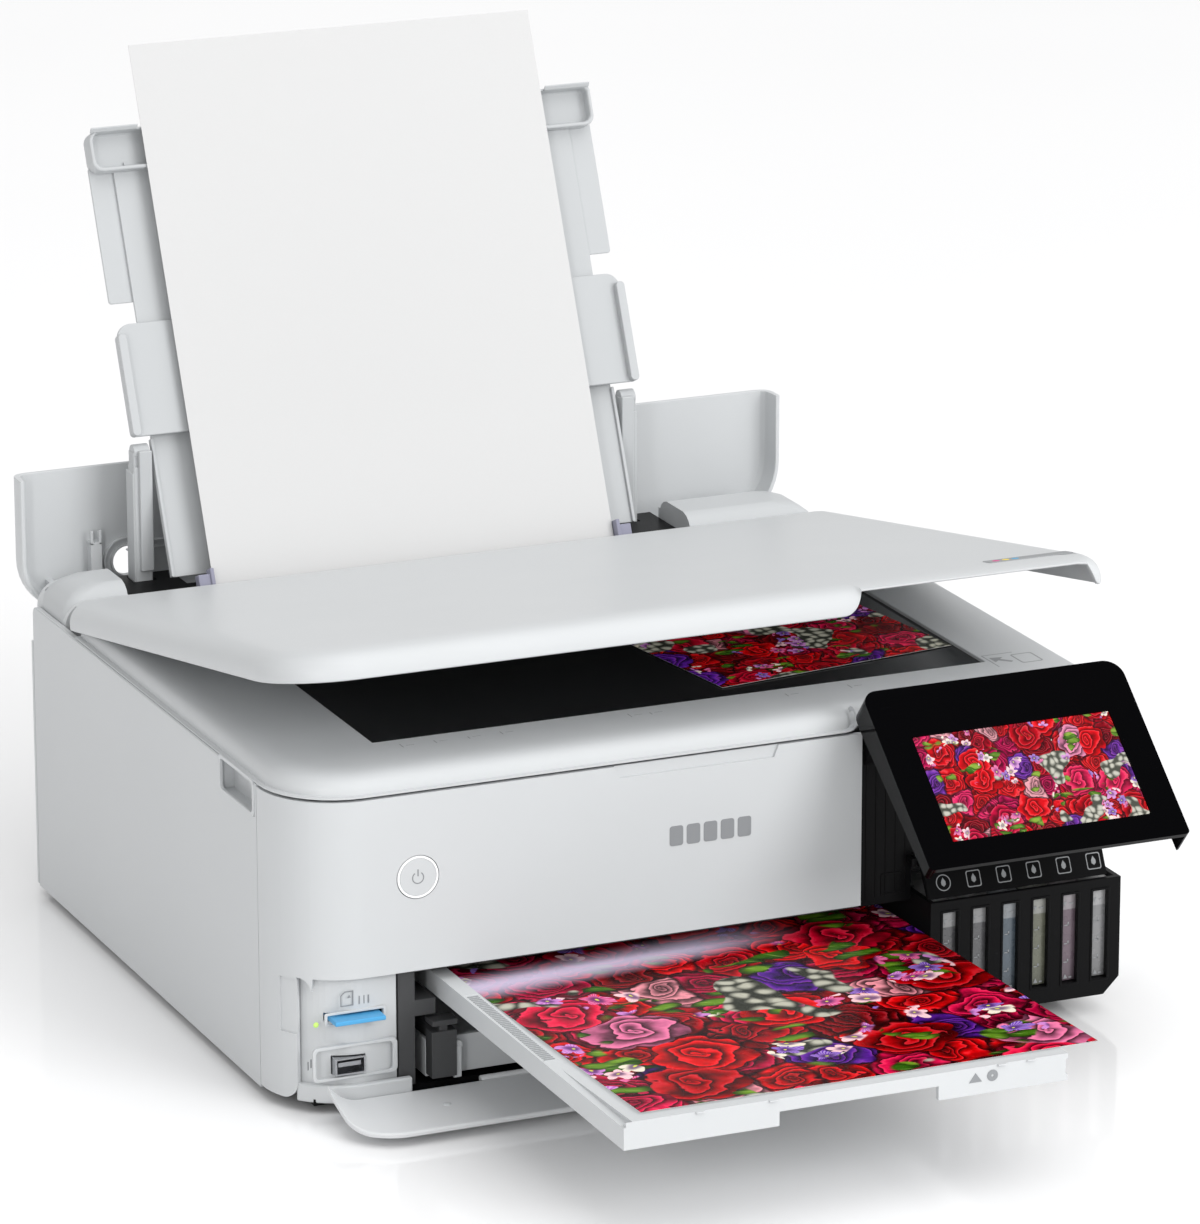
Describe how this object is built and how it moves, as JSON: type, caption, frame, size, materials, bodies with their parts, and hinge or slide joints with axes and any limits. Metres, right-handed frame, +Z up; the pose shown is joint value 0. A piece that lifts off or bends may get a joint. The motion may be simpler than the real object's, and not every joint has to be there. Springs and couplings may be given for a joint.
{
  "type": "inkjet printer",
  "caption": "Flatbed photo inkjet printer with refillable ink tanks, rear sheet feed, tilting control panel, front flap, paper cassette and sliding output tray.",
  "frame": {"origin": "middle of the footprint on the table, between the front of the output tray and the top edge of the loaded sheet, at the bottom of the feet", "axes": "+X to the right of someone who stands in front of the printer, +Y towards its back, +Z up"},
  "size_m": [0.403, 0.6134, 0.4008],
  "materials": {
    "white_plastic": "satin moulded plastic with a very fine texture, pale cool white",
    "dark_grey_plastic": "matte moulded plastic, dark grey",
    "black_plastic": "satin black moulded plastic",
    "gloss_black": "piano black, polished",
    "screen": "glossy display window showing a picture of flowers",
    "scanner_glass": "flat polished glass over a dark interior",
    "rubber": "black rubber",
    "steel": "plated sheet steel",
    "brass": "sintered brass pinion",
    "blue_plastic": "blue moulded plastic",
    "photo_paper": "glossy photo paper printed edge to edge with flowers",
    "plain_paper": "uncoated office paper",
    "pad_foam": "white film over foam",
    "circuit_board": "green solder mask",
    "ink_black": "smoky translucent tank wall over black ink",
    "ink_photo_black": "smoky translucent tank wall over photo black ink",
    "ink_cyan": "smoky translucent tank wall over cyan ink",
    "ink_yellow": "smoky translucent tank wall over yellow ink",
    "ink_magenta": "smoky translucent tank wall over magenta ink",
    "ink_grey": "smoky translucent tank wall over grey ink"
  },
  "bodies": {
    "printer_body": {"base_tray": "dark_grey_plastic", "foot_front_left": "rubber", "foot_front_right": "rubber", "foot_rear_left": "rubber", "foot_rear_right": "rubber", "front_panel": "white_plastic", "left_side_panel": "white_plastic", "right_side_panel": "white_plastic", "rear_panel": "white_plastic", "rear_frame": "white_plastic", "card_panel": "white_plastic", "usb_port": "steel", "mouth_frame": "dark_grey_plastic", "tank_housing": "black_plastic", "ink_tank_1": "ink_black", "ink_tank_2": "ink_photo_black", "ink_tank_3": "ink_cyan", "ink_tank_4": "ink_yellow", "ink_tank_5": "ink_magenta", "ink_tank_6": "ink_grey", "front_housing": "black_plastic", "scanner_hinge_left": "steel", "scanner_hinge_right": "steel", "feed_base": "black_plastic", "support_lower": "white_plastic", "support_middle": "white_plastic", "support_leg_left": "white_plastic", "support_leg_right": "white_plastic", "platen": "black_plastic", "carriage_rail": "steel", "timing_belt": "rubber", "power_supply": "black_plastic", "control_board": "circuit_board"},
    "rear_access": {"rear_access_cover": "white_plastic"},
    "scanner_unit": {"scanner_base": "white_plastic", "scanner_glass": "scanner_glass", "glass_print": "photo_paper"},
    "scan_head": {"scan_carriage": "dark_grey_plastic"},
    "lid": {"document_lid": "white_plastic", "lid_pad": "pad_foam"},
    "panel": {"control_panel": "gloss_black", "panel_screen": "screen"},
    "tank_lid": {"tank_cover": "black_plastic"},
    "power_key": {"power_button": "white_plastic"},
    "rear_cover": {"feed_cover": "white_plastic"},
    "support_top": {"support_upper": "white_plastic"},
    "loaded_sheet": {"rear_sheet": "plain_paper"},
    "guide_left": {"edge_guide_left": "white_plastic"},
    "guide_right": {"edge_guide_right": "white_plastic"},
    "tray": {"output_tray": "white_plastic"},
    "printed_sheet": {"tray_print": "photo_paper"},
    "flap": {"front_flap": "white_plastic"},
    "cassette": {"paper_cassette": "white_plastic"},
    "cassette_fence": {"cassette_guide": "dark_grey_plastic"},
    "carriage": {"print_carriage": "black_plastic"},
    "pulley": {"belt_pulley": "steel"},
    "feed_shaft": {"feed_roller": "rubber"},
    "eject_shaft": {"eject_roller": "rubber"},
    "pinion": {"drive_pinion": "brass"},
    "card": {"memory_card": "blue_plastic"}
  },
  "joints": [
    {"name": "scanner_lift", "type": "hinge", "parent": "printer_body", "child": "scanner_unit", "pos_m": [0, 0.18326, 0.151], "axis": [-1, 0, 0], "range_deg": [0, 20]},
    {"name": "lid_open", "type": "hinge", "parent": "scanner_unit", "child": "lid", "pos_m": [0, 0.18326, 0.151], "axis": [-1, 0, 0], "range_deg": [-10.4, 60]},
    {"name": "scan_travel", "type": "slide", "parent": "scanner_unit", "child": "scan_head", "axis": [0, 1, 0], "range_m": [0, 0.165]},
    {"name": "panel_tilt", "type": "hinge", "parent": "printer_body", "child": "panel", "pos_m": [0, -0.11334, 0.1579], "axis": [-1, 0, 0], "range_deg": [-49.6, 12]},
    {"name": "tank_cover_open", "type": "hinge", "parent": "printer_body", "child": "tank_lid", "pos_m": [0, -0.10824, 0.082], "axis": [-1, 0, 0], "range_deg": [0, 70]},
    {"name": "power_press", "type": "slide", "parent": "printer_body", "child": "power_key", "axis": [0, 1, 0], "range_m": [0, 0.0012], "stiffness_N_per_m": 600},
    {"name": "feed_cover_close", "type": "hinge", "parent": "printer_body", "child": "rear_cover", "pos_m": [0, 0.25026, 0.148], "axis": [1, 0, 0], "range_deg": [0, 14]},
    {"name": "support_extend", "type": "slide", "parent": "printer_body", "child": "support_top", "axis": [0, 0.4003, 0.9164], "range_m": [-0.062, 0]},
    {"name": "sheet_lift", "type": "slide", "parent": "printer_body", "child": "loaded_sheet", "axis": [0, 0.4003, 0.9164], "range_m": [0, 0.15]},
    {"name": "guide_left_slide", "type": "slide", "parent": "printer_body", "child": "guide_left", "axis": [-1, 0, 0], "range_m": [0, 0.012]},
    {"name": "guide_right_slide", "type": "slide", "parent": "printer_body", "child": "guide_right", "axis": [1, 0, 0], "range_m": [0, 0.012]},
    {"name": "tray_retract", "type": "slide", "parent": "printer_body", "child": "tray", "axis": [0, 1, 0], "range_m": [0, 0.19]},
    {"name": "print_take", "type": "slide", "parent": "tray", "child": "printed_sheet", "axis": [0, -0.9995, 0.0314], "range_m": [0, 0.12]},
    {"name": "flap_close", "type": "hinge", "parent": "printer_body", "child": "flap", "pos_m": [0, -0.10374, 0.008], "axis": [-1, 0, 0], "range_deg": [0, 38]},
    {"name": "cassette_pull", "type": "slide", "parent": "printer_body", "child": "cassette", "axis": [0, 1, 0], "range_m": [-0.2, 0]},
    {"name": "cassette_guide_slide", "type": "slide", "parent": "cassette", "child": "cassette_fence", "axis": [1, 0, 0], "range_m": [0, 0.06]},
    {"name": "carriage_travel", "type": "slide", "parent": "printer_body", "child": "carriage", "axis": [1, 0, 0], "range_m": [-0.14, 0.06]},
    {"name": "pulley_spin", "type": "hinge", "parent": "printer_body", "child": "pulley", "pos_m": [0.086, 0.02326, 0.1], "axis": [0, 0, 1], "range_deg": [-1610, 700]},
    {"name": "feed_spin", "type": "hinge", "parent": "printer_body", "child": "feed_shaft", "pos_m": [0, 0.02526, 0.074], "axis": [1, 0, 0], "continuous": true},
    {"name": "eject_spin", "type": "hinge", "parent": "printer_body", "child": "eject_shaft", "pos_m": [0, -0.07074, 0.071], "axis": [1, 0, 0], "continuous": true},
    {"name": "pinion_spin", "type": "hinge", "parent": "printer_body", "child": "pinion", "pos_m": [0, 0.04956, 0.074], "axis": [1, 0, 0], "continuous": true},
    {"name": "card_pull", "type": "slide", "parent": "printer_body", "child": "card", "axis": [0, -1, 0], "range_m": [0, 0.02]},
    {"name": "rear_access_pull", "type": "slide", "parent": "printer_body", "child": "rear_access", "axis": [0, 1, 0], "range_m": [0, 0.04]}
  ],
  "couplings": [
    {"joint": "guide_right_slide", "follows": "guide_left_slide", "ratio": 1},
    {"joint": "pulley_spin", "follows": "carriage_travel", "rad_per_m": 200},
    {"joint": "eject_spin", "follows": "feed_spin", "ratio": 1.2727},
    {"joint": "pinion_spin", "follows": "feed_spin", "ratio": -3}
  ]
}
